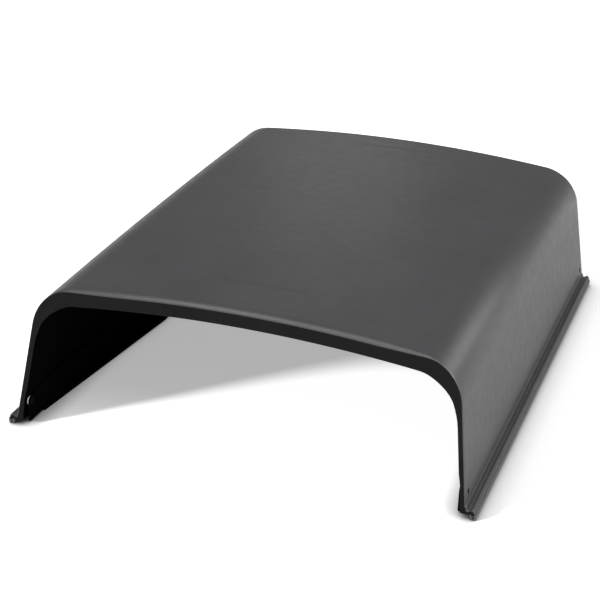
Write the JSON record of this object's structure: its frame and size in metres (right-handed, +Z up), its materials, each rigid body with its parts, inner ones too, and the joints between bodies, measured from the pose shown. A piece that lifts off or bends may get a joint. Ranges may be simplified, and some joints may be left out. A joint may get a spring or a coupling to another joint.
{
  "type": "roof vent cover",
  "caption": "Open-ended arched roof vent cover that tilts forward on two side rails, with soft edge seals and rear lock bolts.",
  "frame": {"origin": "centre of the footprint, on the roof surface", "axes": "+Z up from the roof, +Y towards the end with the lock bolts, +X to the right; the open tunnel under the hood runs along Y"},
  "size_m": [0.4908, 0.59, 0.1665],
  "materials": {
    "hood_plastic": "fine-grained charcoal ABS",
    "seal_rubber": "satin EPDM",
    "rail_coating": "matt black powder coat",
    "gasket_rubber": "matt foam rubber",
    "black_steel": "black oxide",
    "spacer_nylon": "black nylon",
    "zinc_steel": "zinc plated",
    "knob_plastic": "moulded black"
  },
  "bodies": {
    "rails": {"side_rail_left": "rail_coating", "side_rail_right": "rail_coating", "foot_gasket_left": "gasket_rubber", "foot_gasket_right": "gasket_rubber", "pivot_pin_left": "black_steel", "pivot_pin_right": "black_steel", "pivot_spacer_left": "spacer_nylon", "pivot_spacer_right": "spacer_nylon", "lock_barrel_left": "zinc_steel", "lock_barrel_right": "zinc_steel", "lock_nut_left": "zinc_steel", "lock_nut_right": "zinc_steel", "lock_oring_left": "seal_rubber", "lock_oring_right": "seal_rubber"},
    "hood": {"hood": "hood_plastic", "seal_strip_left": "seal_rubber", "seal_strip_right": "seal_rubber"},
    "bolt_left": {"lock_bolt_left": "zinc_steel", "bolt_knob_left": "knob_plastic"},
    "bolt_right": {"lock_bolt_right": "zinc_steel", "bolt_knob_right": "knob_plastic"}
  },
  "joints": [
    {"name": "hood_tilt", "type": "hinge", "parent": "rails", "child": "hood", "pos_m": [0, -0.281, 0.023], "axis": [1, 0, 0], "range_deg": [0, 100]},
    {"name": "bolt_slide_left", "type": "slide", "parent": "rails", "child": "bolt_left", "axis": [-1, 0, 0], "range_m": [0, 0.006]},
    {"name": "bolt_slide_right", "type": "slide", "parent": "rails", "child": "bolt_right", "axis": [1, 0, 0], "range_m": [0, 0.006]}
  ]
}
